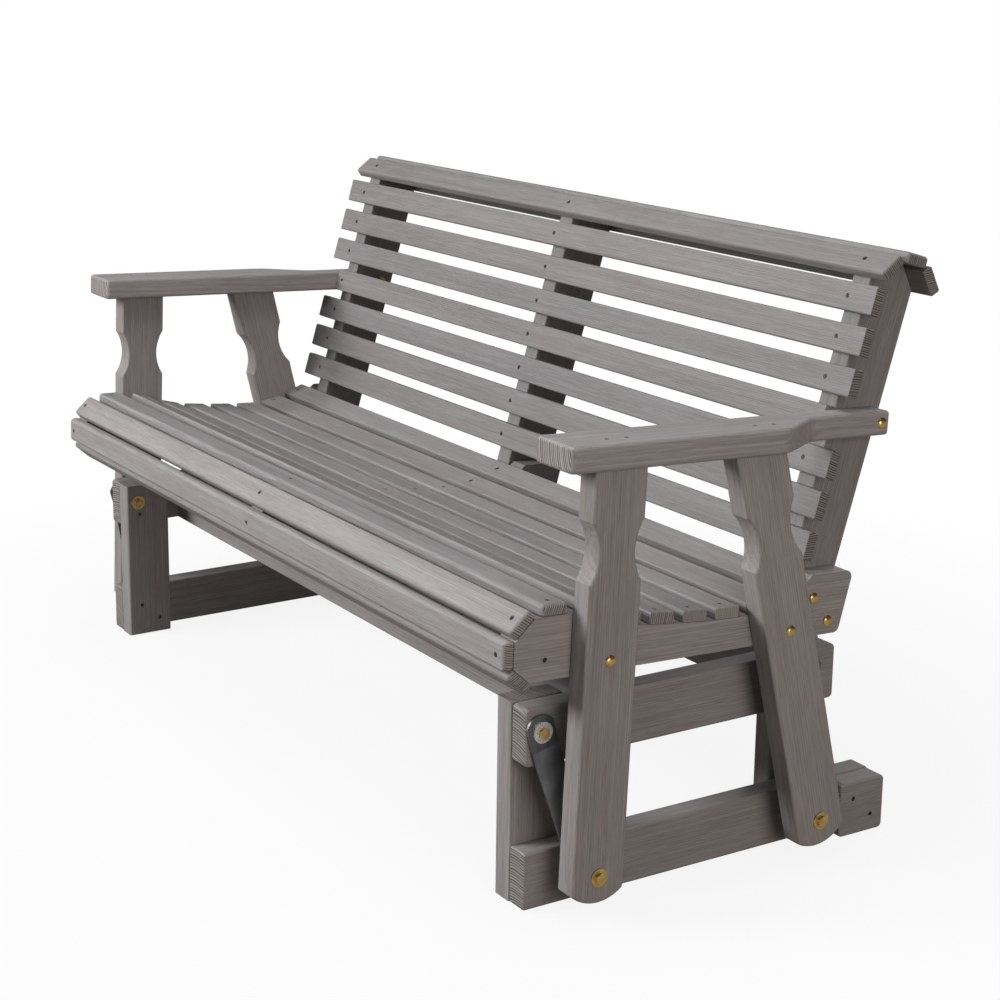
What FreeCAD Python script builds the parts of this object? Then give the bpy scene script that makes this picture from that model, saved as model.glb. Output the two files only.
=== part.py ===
import FreeCAD, Part
import os
import Sketcher
from FreeCAD import Vector, Rotation, Placement

# Porch glider bench: a slatted seat with back and arms hangs on four bent
# flat steel links from a low two-sided timber base.
# X runs along the bench, the front faces -Y, Z is up. The origin is on the
# floor under the middle of the whole bench. Lengths are in millimetres.

doc = FreeCAD.newDocument("glider_bench")
dim = doc.addObject("Spreadsheet::Sheet", "dim")

# Sizes that can be set by themselves
SIZES = [
    ("lumber_thick", 38), ("lumber_wide", 89), ("lumber_ease", 4),
    ("slat_wide", 44), ("slat_thick", 18), ("slat_ease", 3), ("slat_end_ease", 1.5),
    ("round_over", 6),
    ("seat_half_length", 785), ("link_gap", 41), ("origin_shift", 14.4),
    # base
    ("base_height", 310), ("hanger_drop", 35), ("front_hanger_inset", 23.5),
    ("rear_hanger_inset", 57.5), ("foot_length", 658), ("front_beam_setback", 127), ("rail_ease", 5), ("rail_corner", 8),
    ("leg_screw_near", 27), ("leg_screw_far", 65), ("leg_screw_drop", 60),
    ("leg_screw_high", 60), ("leg_screw_low", 28), ("stop_screw_near", 26),
    ("stop_screw_high", 61), ("lag_end", 8),
    # seat tilt, measured in the plane of the side ribs
    ("seat_pitch", 2.2),
    # ribs
    ("rib_bottom", 354.5), ("crest_rise", 93), ("nose_face", -399.5), ("nose_flat", 38),
    ("nose_drop", 31.5), ("nose_top_run", 33), ("nose_under_run", 28), ("crest_end", -298),
    ("seat_slat_pitch", 60.5), ("dish_a", 20), ("dish_b", 34), ("dish_c", 39.5),
    ("dish_d", 43.5), ("dish_e", 45), ("dish_f", 30.5), ("dish_g", 9.5),
    ("tail_slat_run", 55), ("shoulder_run", 14), ("tail_rise", 2.5), ("tail_top", 215),
    ("tail_bottom", 193), ("tail_round", 11), ("front_slat_gap", 22.8),
    ("nose_screw_back", 52), ("nose_screw_rise", 7), ("roll_low_slip", 4.5),
    ("roll_high_slip", 3.1),
    # back
    ("back_foot", 98.5), ("back_lean", 14.5), ("back_post_height", 585),
    ("back_post_clear", 2.5), ("back_slat_drop", 44.5), ("back_slat_foot", 121.5),
    ("cap_front_angle", 53), ("cap_rear_angle", 46.5), ("cap_front_drop", 31),
    ("cap_rear_drop", 33), ("cap_front_set", 4.5), ("cap_rear_set", 6), ("cap_top_front", 24),
    # armrests
    ("arm_front", -356), ("arm_bottom", 660.8), ("arm_tilt", 0.54), ("arm_end_inset", 15),
    ("arm_narrow", 38), ("arm_shoulder_start", 382.5), ("arm_shoulder_run", 84.5),
    ("arm_shoulder_round", 60), ("arm_corner", 9), ("arm_ease", 5), ("arm_bolt_inset", 12.5),
    # arm posts, measured from the pivot at the foot of each
    ("front_pivot_along", -260.5), ("front_pivot_up", 58.5), ("rear_pivot_back", 156.7),
    ("post_below_pivot", 40), ("post_foot_round", 67), ("rear_post_lean", 15.9),
    ("notch_low", 438), ("notch_high", 526), ("notch_depth", 13.5), ("notch_soften", 1.5),
    ("front_bolt_shift", 2.5),
    # links
    ("hang_front", -310), ("hang_rear", 185),
    ("link_wide", 46), ("link_thick", 4), ("link_side_clear", 0.2), ("link_end_run", 27),
    ("link_end_radius", 26), ("link_bend", 7), ("pivot_radius", 4.8), ("pivot_clear", 0.06),
    ("open_pivot_clear", 3), ("washer_thick", 2), ("washer_radius", 14),
    ("ring_thick", 3), ("ring_radius", 16), ("hex_flat", 15), ("hex_high", 5),
    ("bolt_tail", 3), ("bore_clear", 0.3),
    # carriage bolts
    ("carriage_radius", 4), ("dome_radius", 8.8), ("dome_high", 4.6),
    ("small_washer_radius", 10), ("small_hex_flat", 13), ("small_hex_high", 6),
    ("rib_bolt_up", 29), ("tail_bolt_a_along", 139), ("tail_bolt_a_drop", 35.5),
    ("tail_bolt_b_along", 170), ("tail_bolt_b_drop", 75),
    # screws
    ("screw_head_radius", 3.6), ("screw_head_high", 2.4), ("screw_radius", 2),
    ("screw_length", 42), ("long_screw_length", 63), ("screw_sink", 1), ("screw_clear", 0.3),
    ("screw_drive_wide", 2.6), ("screw_drive_deep", 0.8), ("arm_screw_length", 60),
    ("nose_screw_length", 32), ("arm_screw_spread", 17), ("arm_screw_rear_shift", 16),
]

# Sizes that follow from the ones above
DERIVED = [
    ("rail_face", "seat_half_length - link_gap"),
    ("leg_face", "rail_face - lumber_thick"),
    ("leg_inner", "leg_face - lumber_thick"),
    ("rib_inner", "seat_half_length - lumber_thick"),
    ("crest_height", "rib_bottom + crest_rise"), ("tail_height", "crest_height + tail_rise"),
    ("nose_high", "crest_height - nose_drop"), ("nose_low", "nose_high - nose_flat"),
    ("tail_bolt_a_up", "tail_height - tail_bolt_a_drop"),
    ("tail_bolt_b_up", "tail_height - tail_bolt_b_drop"),
    ("nose_screw_along", "nose_face + nose_screw_back"),
    ("nose_screw_up", "nose_low + nose_screw_rise"),
    ("rail_bottom", "base_height - lumber_wide"), ("hang_height", "base_height - hanger_drop"),
    ("base_front", "hang_front - front_hanger_inset"),
    ("rail_rear", "hang_rear + rear_hanger_inset"), ("rail_length", "rail_rear - base_front"),
    ("foot_rear", "base_front + foot_length"),
    ("rear_leg_front", "rail_rear - lumber_wide"),
    ("pitch_cos", "cos(seat_pitch)"), ("pitch_sin", "sin(seat_pitch)"),
    # lower pivots on the level, then the link that spans front hanger to pivot
    ("low_front_back", "front_pivot_along * pitch_cos + front_pivot_up * pitch_sin"),
    ("low_front_high", "front_pivot_up * pitch_cos - front_pivot_along * pitch_sin"),
    ("link_length", "sqrt((low_front_back - hang_front)^2 + (hang_height - low_front_high)^2)"),
    ("front_link_angle", "asin((low_front_back - hang_front) / link_length) / 1 deg"),
    ("rear_link_angle", "asin((rear_pivot_back - hang_rear) / link_length) / 1 deg"),
    ("low_rear_high", "hang_height - link_length * cos(rear_link_angle)"),
    ("rear_pivot_along", "rear_pivot_back * pitch_cos - low_rear_high * pitch_sin"),
    ("rear_pivot_up", "rear_pivot_back * pitch_sin + low_rear_high * pitch_cos"),
    # across the bench at a link
    ("link_top_in", "rail_face + washer_thick + link_side_clear"),
    ("link_low_in", "seat_half_length - link_side_clear - link_thick"),
    ("crank_half_tan", "tan(atan((link_low_in - link_top_in) / (link_length - 2 * link_end_run)) / 2)"),
    # arm posts and armrests
    ("foot_sag", "post_foot_round - sqrt(post_foot_round^2 - lumber_wide^2 / 4)"),
    ("notch_radius", "((notch_high - notch_low)^2 / 4 + notch_depth^2) / (2 * notch_depth)"),
    ("arm_slope", "tan(arm_tilt)"),
    ("back_sin", "sin(back_lean)"), ("back_cos", "cos(back_lean)"),
    # back slats share out the post between its top and the lowest slat
    ("back_slat_top", "back_post_height - back_slat_drop"),
    ("back_slat_pitch", "(back_slat_top - slat_wide - back_slat_foot) / 6"),
    ("cap_front_foot", "back_post_height - cap_front_drop"),
    ("cap_rear_foot", "back_post_height - cap_rear_drop"),
    # the armrest ends short of the rear face of the back post that it is bolted to
    ("arm_mid_rise", "(arm_bottom + lumber_thick / 2 - rib_bottom + lumber_wide * back_sin) / back_cos"),
    ("arm_length", "back_foot + lumber_wide * back_cos + arm_mid_rise * back_sin"
     " - arm_end_inset - arm_front"),
    ("arm_bolt_along", "arm_length - arm_bolt_inset"),
]


def fill_sheet():
    for row, (alias, value) in enumerate(SIZES, 1):
        dim.set(f"A{row}", str(value))
        dim.setAlias(f"A{row}", alias)
    for row, (alias, formula) in enumerate(DERIVED, 1):
        dim.set(f"B{row}", "=" + formula)
        dim.setAlias(f"B{row}", alias)
    doc.recompute()


fill_sheet()
trial = doc.addObject("Spreadsheet::Sheet", "trial")
ALIASES = sorted([a for a, _ in SIZES] + [a for a, _ in DERIVED], key=len, reverse=True)


def bound(text):
    """Turns size names in a formula into references to the sheet."""
    out, word = "", ""
    for ch in str(text) + " ":
        if ch.isalnum() or ch == "_":
            word += ch
        else:
            out += ("dim." + word) if word in ALIASES else word
            out += ch
            word = ""
    return out.strip()


def num(text):
    """Value of a formula, worked out on a sheet that nothing else uses."""
    trial.set("A1", "=" + bound(text))
    trial.recomputeCells("A1")
    return float(trial.get("A1"))


nodes = []


def node(obj, label):
    obj.Label = label
    nodes.append(obj)
    return obj


def origin_plane(body, role):
    return [f for f in body.Origin.OriginFeatures if f.Role == role][0]


def new_sketch(body, name, role, lift=None):
    sk = body.newObject("Sketcher::SketchObject", name)
    sk.AttachmentSupport = (origin_plane(body, role), [""])
    sk.MapMode = "FlatFace"
    if lift:
        sk.setExpression(".AttachmentOffset.Base.z", bound(lift))
    return sk


def hold(sk, kind, geo, point, text):
    """Fixes one coordinate of a point, bound to a formula."""
    index = sk.addConstraint(Sketcher.Constraint(kind, -1, 1, geo, point, num(text)))
    sk.setExpression(f"Constraints[{index}]", bound(text))


def outline(body, name, role, points, arcs=None, lift=None):
    """Closed outline through points; arcs maps a side's index to (radius, turns_left)."""
    arcs = arcs or {}
    sk = new_sketch(body, name, role, lift)
    spots = [Vector(num(a), num(b), 0) for a, b in points]
    count = len(spots)
    for i, start in enumerate(spots):
        end = spots[(i + 1) % count]
        if i in arcs:
            radius, left = arcs[i]
            half = (end - start) / 2
            rise = (num(radius) ** 2 - half.Length ** 2) ** 0.5 if num(radius) > half.Length else 0
            side = Vector(-half.y, half.x, 0).normalize() * (1 if left else -1)
            centre = start + half + side * rise
            bulge = (start + half - centre).normalize() if rise else side * -1
            middle = centre + bulge * num(radius)
            first, last = (start, end) if left else (end, start)
            sk.addGeometry(Part.Arc(first, middle, last), False)
        else:
            sk.addGeometry(Part.LineSegment(start, end), False)
    ends = {}
    for i, start in enumerate(spots):
        geo = sk.Geometry[i]
        first = geo.StartPoint if hasattr(geo, "StartPoint") else geo.value(geo.FirstParameter)
        ends[i] = (1, 2) if (first - start).Length < 1e-6 else (2, 1)
    for i in range(count):
        j = (i + 1) % count
        sk.addConstraint(Sketcher.Constraint("Coincident", i, ends[i][1], j, ends[j][0]))
    for i, (a, b) in enumerate(points):
        hold(sk, "DistanceX", i, ends[i][0], a)
        hold(sk, "DistanceY", i, ends[i][0], b)
    for i, (radius, _) in arcs.items():
        index = sk.addConstraint(Sketcher.Constraint("Radius", i, num(radius)))
        sk.setExpression(f"Constraints[{index}]", bound(radius))
    return sk


def circles(body, name, role, holes, lift=None):
    sk = new_sketch(body, name, role, lift)
    for i, (a, b, radius) in enumerate(holes):
        sk.addGeometry(Part.Circle(Vector(num(a), num(b), 0), Vector(0, 0, 1), num(radius)), False)
        hold(sk, "DistanceX", i, 3, a)
        hold(sk, "DistanceY", i, 3, b)
        index = sk.addConstraint(Sketcher.Constraint("Radius", i, num(radius)))
        sk.setExpression(f"Constraints[{index}]", bound(radius))
    return sk


def pad(body, sketch, depth, centred=False):
    feature = body.newObject("PartDesign::Pad", "pad")
    feature.Profile = sketch
    if centred:
        feature.SideType = "Symmetric"
    feature.setExpression("Length", bound(depth))
    doc.recompute()
    return feature


def cut(body, sketch, depth=None, forward=True, both=False):
    """Cuts right through, or down to a depth, along the sketch's normal or against it."""
    before = body.Shape.Volume
    feature = body.newObject("PartDesign::Pocket", "cut")
    feature.Profile = sketch
    feature.Reversed = forward and not both
    if depth:
        feature.setExpression("Length", bound(depth))
    else:
        feature.Type = "ThroughAll"
    if both:
        feature.SideType = "Symmetric"
    doc.recompute()
    if not body.Shape.Volume < before - 1:
        raise RuntimeError(f"{body.Name}: a cut removed nothing")
    return feature


def sink(body, places, outer_high, thick="lumber_thick", role="YZ_Plane"):
    """Flat-bottomed seats for screw heads in a board's low or high face."""
    seats = [(a, b, "screw_head_radius + screw_clear") for a, b in places]
    sketch = circles(body, "screw_seats", role, seats, lift=thick if outer_high else None)
    cut(body, sketch, depth="screw_sink + screw_head_high", forward=not outer_high)


def ease(body, radius, wanted):
    """Rounds the edges that wanted() picks on the body's last feature."""
    last = body.Tip
    picked = [f"Edge{i}" for i, edge in enumerate(last.Shape.Edges, 1) if wanted(edge)]
    feature = body.newObject("PartDesign::Fillet", "ease")
    feature.Base = (last, picked)
    feature.setExpression("Radius", bound(radius))
    doc.recompute()
    if feature.Shape.isNull() or not feature.isValid():
        raise RuntimeError(f"{body.Name}: an edge could not be rounded")
    return feature


# How close to a place an edge must lie to be picked there
NEAR = 0.1


def along(edge, axis):
    """True for a straight edge that runs along the axis 0, 1 or 2."""
    if not isinstance(edge.Curve, (Part.Line, Part.LineSegment)):
        return False
    step = edge.Vertexes[-1].Point - edge.Vertexes[0].Point
    return abs(step[axis]) > 0.999 * step.Length


def off_axis(edge, axis):
    """True for an edge that lies in a plane square to the axis."""
    box = edge.BoundBox
    low, high = ((box.XMin, box.XMax), (box.YMin, box.YMax), (box.ZMin, box.ZMax))[axis]
    return high - low < 1e-6


def on_foot(edge):
    """True for an edge that lies in the body's own plane at height nought."""
    return edge.BoundBox.ZMax < NEAR


def new_body(label):
    return node(doc.addObject("PartDesign::Body", label), label)


def spot(obj, across, back, up):
    """Puts an object at a place on the level, moved with the origin."""
    obj.Placement = Placement(Vector(0, 0, 0), obj.Placement.Rotation)
    obj.setExpression(".Placement.Base.x", bound(across))
    obj.setExpression(".Placement.Base.y", bound(f"origin_shift + ({back})"))
    obj.setExpression(".Placement.Base.z", bound(up))
    doc.recompute()


def turn(obj, angle):
    """Turns an object about X by a formula in degrees."""
    sign = 1 if num(angle) >= 0 else -1
    if abs(num(angle)) < 1e-9:
        return
    obj.Placement = Placement(obj.Placement.Base, Rotation(Vector(sign, 0, 0), 1))
    obj.setExpression(".Placement.Rotation.Angle", bound(angle if sign > 0 else f"-({angle})"))


def on_seat(obj, across, along_seat, up_seat, angle="0"):
    """Puts an object at a place given in the tilted plane of the seat ribs."""
    turn(obj, f"({angle}) - seat_pitch")
    spot(obj, across, f"({along_seat}) * pitch_cos + ({up_seat}) * pitch_sin",
         f"({up_seat}) * pitch_cos - ({along_seat}) * pitch_sin")


SIDES = (("right", 1), ("left", -1))


def across_of(side, inner, outer):
    """Where a board's low-X face lies on the right or the left side."""
    return inner if side > 0 else f"-({outer})"


# Timber boards


def board(label, length, wide, thick, role, ease_axis, radius, low=("0", "0")):
    """A straight board: its section on a plane, pushed along that plane's normal."""
    body = new_body(label)
    a, b = low
    section = outline(body, "section", role, [
        (a, b), (f"{a} + {wide}", b), (f"{a} + {wide}", f"{b} + {thick}"), (a, f"{b} + {thick}")])
    pad(body, section, length)
    ease(body, radius, lambda edge: along(edge, ease_axis))
    return body


def drill(body, holes, role="YZ_Plane"):
    cut(body, circles(body, "bores", role, holes))


PIVOT_BORE = "pivot_radius + pivot_clear"
BOLT_BORE = "carriage_radius + bore_clear"


# Screws that show on the base: (across a leg from its front, height)
LEG_SCREWS = [("leg_screw_near", "base_height - leg_screw_drop"),
              ("leg_screw_near", "leg_screw_high"), ("leg_screw_far", "leg_screw_low")]
REAR_LEG_SCREWS = [(f"lumber_wide - {a}", b) for a, b in LEG_SCREWS]
STOP_SCREWS = [("stop_screw_near", "stop_screw_high"),
               ("lumber_wide - stop_screw_near", "lumber_wide - stop_screw_high")]
BEAM_SCREWS = [("front_beam_setback + lumber_thick / 2", "lumber_wide / 4"),
               ("front_beam_setback + lumber_thick / 2", "lumber_wide * 3 / 4")]
base_screws = []


def side_screws(side, face, back, up, places, outward):
    """Notes where screws go in a face square to X; outward is +1 away from the middle."""
    for a, b in places:
        base_screws.append((f"({side}) * ({face} - ({outward}) * screw_sink)",
                            f"{back} + {a}", f"{up} + {b}", side * outward))


def make_legs(name, side):
    for end, front, hanger in (("front", "base_front", "hang_front"),
                               ("rear", "rear_leg_front", "hang_rear")):
        leg = board(f"{name}_{end}_leg", "base_height", "lumber_thick", "lumber_wide",
                    "XY_Plane", 2, "lumber_ease")
        bore = [(f"{hanger} - {front}", "hang_height", PIVOT_BORE)]
        if end == "front":
            cut(leg, circles(leg, "bore", "YZ_Plane", bore))
        else:
            cut(leg, circles(leg, "bore", "YZ_Plane", bore,
                             lift="lumber_thick" if side > 0 else None),
                depth="lumber_thick - lag_end", forward=side < 0)
        screws = LEG_SCREWS if end == "front" else REAR_LEG_SCREWS
        sink(leg, screws, side < 0)
        side_screws(side, "leg_inner", front, "0", screws, -1)
        spot(leg, across_of(side, "leg_inner", "leg_face"), front, "0")


def make_rails(name, side):
    for label, length, bottom in ((f"{name}_upper_rail", "rail_length", "rail_bottom"),
                                  (f"{name}_foot_rail", "foot_length", "0")):
        rail = new_body(label)
        section = outline(rail, "side", "YZ_Plane", [
            ("0", "0"), (length, "0"), (length, "lumber_wide"), ("0", "lumber_wide")])
        pad(rail, section, "lumber_thick")
        if bottom == "0":
            ease(rail, "lumber_ease", lambda edge: True)
        else:
            ease(rail, "rail_corner", lambda edge: along(edge, 0))
            ease(rail, "rail_ease", lambda edge: off_axis(edge, 0))
            drill(rail, [(f"{hanger} - base_front", "hang_height - rail_bottom", PIVOT_BORE)
                         for hanger in ("hang_front", "hang_rear")])
            sink(rail, BEAM_SCREWS, side > 0)
            side_screws(side, "rail_face", "base_front", "rail_bottom", BEAM_SCREWS, 1)
        spot(rail, across_of(side, "leg_face", "rail_face"), "base_front", bottom)
    stop = new_body(f"{name}_stop_block")
    section = outline(stop, "side", "YZ_Plane", [
        ("0", "0"), ("lumber_wide", "0"), ("lumber_wide", "lumber_wide"), ("0", "lumber_wide")])
    pad(stop, section, "lumber_thick")
    ease(stop, "rail_corner", lambda edge: along(edge, 0))
    ease(stop, "lumber_ease", lambda edge: off_axis(edge, 0))
    sink(stop, STOP_SCREWS, side > 0)
    side_screws(side, "rail_face + lumber_thick", "foot_rear - lumber_wide", "0", STOP_SCREWS, 1)
    spot(stop, across_of(side, "rail_face", "rail_face + lumber_thick"),
         "foot_rear - lumber_wide", "0")


def make_base():
    for name, side in SIDES:
        make_legs(name, side)
        make_rails(name, side)
    for label, half, front in (("front_beam", "leg_face", "base_front + front_beam_setback"),
                               ("rear_beam", "leg_inner", "rear_leg_front")):
        beam = board(label, f"2 * {half}", "lumber_thick", "lumber_wide", "YZ_Plane", 0,
                     "lumber_ease")
        spot(beam, f"-{half}", front, "rail_bottom")


# Rib side outline in the tilted plane of the seat
NOSE_TOP = ("nose_face + nose_top_run", "crest_height")
DISH = [("crest_end", "crest_height")] + [
    (f"crest_end + {i} * seat_slat_pitch", f"crest_height - dish_{letter}")
    for i, letter in enumerate("abcdef", 1)] + [
    ("crest_end + 6 * seat_slat_pitch + tail_slat_run", "crest_height - dish_g")]
NOSE_UNDER = ("nose_face + nose_under_run", "rib_bottom")
RIB = [NOSE_UNDER, ("tail_bottom", "rib_bottom"),
       ("tail_top", "tail_height"), (f"{DISH[-1][0]} + shoulder_run", "tail_height")]
RIB += DISH[::-1] + [NOSE_TOP, ("nose_face", "nose_high"), ("nose_face", "nose_low")]

POST_BOLTS = [("front_pivot_along - front_bolt_shift", "rib_bottom + rib_bolt_up"),
              ("rear_pivot_along - (rib_bottom + rib_bolt_up - rear_pivot_up) * tan(rear_post_lean)",
               "rib_bottom + rib_bolt_up")]
TAIL_BOLTS = [("tail_bolt_a_along", "tail_bolt_a_up"), ("tail_bolt_b_along", "tail_bolt_b_up")]


NOSE_SCREW = ("nose_screw_along", "nose_screw_up")


def back_place(along_seat, up_seat):
    """A point of the seat plane as (depth, height) on a leaning back post."""
    a, b = f"(({along_seat}) - back_foot)", f"(({up_seat}) - rib_bottom)"
    return (f"{a} * back_cos - {b} * back_sin", f"{a} * back_sin + {b} * back_cos")


def from_back(depth, height):
    """A (depth, height) on the back post as a point of the seat plane."""
    return (f"back_foot + ({depth}) * back_cos + ({height}) * back_sin",
            f"rib_bottom - ({depth}) * back_sin + ({height}) * back_cos")


CAP_FRONT_TOP = "(back_post_height - cap_front_foot) / tan(cap_front_angle)"
CAP_REAR_TOP = "lumber_wide - (back_post_height - cap_rear_foot) / tan(cap_rear_angle)"
BACK_POST = [("0", "back_post_clear"),
             ("lumber_wide", "back_post_clear + lumber_wide * tan(back_lean)"),
             ("lumber_wide", "cap_rear_foot"), (CAP_REAR_TOP, "back_post_height"),
             (CAP_FRONT_TOP, "back_post_height"), ("0", "cap_front_foot")]
ARM_BOLT = ("arm_front + arm_bolt_along * cos(arm_tilt) + lumber_thick / 2 * sin(arm_tilt)",
            "arm_bottom - arm_bolt_along * sin(arm_tilt) + lumber_thick / 2 * cos(arm_tilt)")


def make_frames():
    places = (("right", "rib_inner", "rib_inner - lumber_thick"),
              ("left", "-seat_half_length", "-rib_inner"),
              ("centre", "-lumber_thick / 2", "-lumber_thick * 3 / 2"))
    for name, rib_at, post_at in places:
        rib = new_body(f"{name}_seat_rib")
        pad(rib, outline(rib, "side", "YZ_Plane", RIB), "lumber_thick")
        rear = num("tail_bottom") - NEAR
        ease(rib, "tail_round", lambda edge: along(edge, 0) and edge.CenterOfMass.y > rear)
        bolts = TAIL_BOLTS if name == "centre" else TAIL_BOLTS + POST_BOLTS
        drill(rib, [(a, b, BOLT_BORE) for a, b in bolts])
        if name != "centre":
            sink(rib, [NOSE_SCREW], name == "right")
        on_seat(rib, rib_at, "0", "0")
        post = new_body(f"{name}_back_post")
        pad(post, outline(post, "side", "YZ_Plane", BACK_POST), "lumber_thick")
        ease(post, "slat_ease", lambda edge: off_axis(edge, 0) and not along(edge, 0))
        bolts = TAIL_BOLTS if name == "centre" else TAIL_BOLTS + [ARM_BOLT]
        drill(post, [back_place(a, b) + (BOLT_BORE,) for a, b in bolts])
        on_seat(post, post_at, "back_foot", "rib_bottom", "-back_lean")


def post_top(half, pivot_along, pivot_up, lean):
    """Height on an arm post where its edge meets the underside of the armrest."""
    return (f"(arm_bottom - {pivot_up} - arm_slope * ({pivot_along} - arm_front)"
            f" - ({half}) * (sin({lean}) + arm_slope * cos({lean})))"
            f" / (cos({lean}) - arm_slope * sin({lean}))")


def make_arm_posts():
    half = "lumber_wide / 2"
    for name, side in SIDES:
        for end, pivot_along, pivot_up, lean in (
                ("front", "front_pivot_along", "front_pivot_up", "0"),
                ("rear", "rear_pivot_along", "rear_pivot_up", "rear_post_lean")):
            post = new_body(f"{name}_{end}_arm_post")
            foot = "-(post_below_pivot - foot_sag)"
            points = [(f"-{half}", foot), (half, foot), (half, "notch_low"), (half, "notch_high"),
                      (half, post_top(half, pivot_along, pivot_up, lean)),
                      (f"-{half}", post_top(f"-{half}", pivot_along, pivot_up, lean)),
                      (f"-{half}", "notch_high"), (f"-{half}", "notch_low")]
            arcs = {0: ("post_foot_round", True), 2: ("notch_radius", False),
                    6: ("notch_radius", False)}
            pad(post, outline(post, "side", "YZ_Plane", points, arcs), "lumber_thick")
            top = num(post_top("0", pivot_along, pivot_up, lean)) - num("lumber_wide") / 2
            ease(post, "notch_soften",
                 lambda edge: along(edge, 0) and edge.CenterOfMass.z < top)
            ease(post, "lumber_ease", lambda edge: off_axis(edge, 0) and not along(edge, 0)
                 and edge.CenterOfMass.z < top)
            if end == "front":
                bolt = ("-front_bolt_shift", f"rib_bottom + rib_bolt_up - {pivot_up}")
            else:
                bolt = ("0", f"(rib_bottom + rib_bolt_up - {pivot_up}) / cos({lean})")
            drill(post, [("0", "0", PIVOT_BORE), bolt + (BOLT_BORE,)])
            on_seat(post, across_of(side, "seat_half_length", "seat_half_length + lumber_thick"),
                    pivot_along, pivot_up, lean)


def make_armrests():
    for name, side in SIDES:
        arm = new_body(f"{name}_armrest")
        wide = "lumber_wide" if side > 0 else "-lumber_wide"
        narrow = "arm_narrow" if side > 0 else "-arm_narrow"
        points = [("0", "0"), (wide, "0"), (wide, "arm_shoulder_start"),
                  (narrow, "arm_shoulder_start + arm_shoulder_run"), (narrow, "arm_length"),
                  ("0", "arm_length")]
        pad(arm, outline(arm, "plan", "XY_Plane", points), "lumber_thick")
        front, rear = NEAR, num("arm_length") - NEAR
        ease(arm, "arm_shoulder_round",
             lambda edge: along(edge, 2) and front < edge.CenterOfMass.y < rear)
        ease(arm, "arm_corner", lambda edge: along(edge, 2) and edge.CenterOfMass.y < front)
        ease(arm, "arm_ease", lambda edge: off_axis(edge, 2))
        bore = circles(arm, "bolt", "YZ_Plane", [("arm_bolt_along", "lumber_thick / 2", BOLT_BORE)])
        if side > 0:
            cut(arm, bore)
        else:
            cut(arm, bore, both=True)
        screws = [(f"({side}) * (seat_half_length + lumber_thick / 2 - rib_inner)", place)
                  for place in arm_screw_places()]
        cut(arm, circles(arm, "screw_holes", "XY_Plane",
                         [(a, b, "screw_radius + screw_clear") for a, b in screws]))
        sink(arm, screws, True, role="XY_Plane")
        on_seat(arm, "rib_inner" if side > 0 else "-rib_inner", "arm_front", "arm_bottom",
                "-arm_tilt")


def arm_screw_places():
    """Places along the armrest over the middle of each arm post, two screws each."""
    rear_top = ("rear_pivot_along - (arm_bottom - rear_pivot_up) * tan(rear_post_lean)")
    out = []
    for middle in ("front_pivot_along - arm_front", f"{rear_top} - arm_front + arm_screw_rear_shift"):
        out += [f"{middle} - arm_screw_spread", f"{middle} + arm_screw_spread"]
    return out


# Slats: every slat lies flat in its own frame, its underside on the seat rib,
# post or cap face that carries it

slat_list = []


def slat(label, along_seat, up_seat, angle, screws, half="seat_half_length", rounded=False):
    body = new_body(label)
    section = outline(body, "section", "YZ_Plane", [
        ("-slat_wide / 2", "0"), ("slat_wide / 2", "0"),
        ("slat_wide / 2", "slat_thick"), ("-slat_wide / 2", "slat_thick")])
    pad(body, section, f"2 * {half}", centred=True)
    if rounded:
        ease(body, "round_over", lambda edge: not on_foot(edge))
        ease(body, "slat_ease", on_foot)
    else:
        ease(body, "slat_ease", lambda edge: along(edge, 0))
        ease(body, "slat_end_ease", lambda edge: off_axis(edge, 0))
    cut(body, circles(body, "screw_holes", "XY_Plane",
                      [(a, "0", "screw_radius + screw_clear") for a in screws]))
    sink(body, [(a, "0") for a in screws], True, thick="slat_thick", role="XY_Plane")
    on_seat(body, "0", along_seat, up_seat, angle)
    slat_list.append((body, screws))
    return body


def facet(start, end):
    """Middle and slope of a straight face between two outline points."""
    (a, b), (c, d) = start, end
    return (f"(({a}) + ({c})) / 2", f"(({b}) + ({d})) / 2",
            f"atan((({d}) - ({b})) / (({c}) - ({a}))) / 1 deg")


RIB_LINE = ["lumber_thick / 2 - seat_half_length", "0", "seat_half_length - lumber_thick / 2"]
POST_LINE = ["lumber_thick / 2 - rib_inner", "-lumber_thick", "rib_inner - lumber_thick / 2"]


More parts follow.
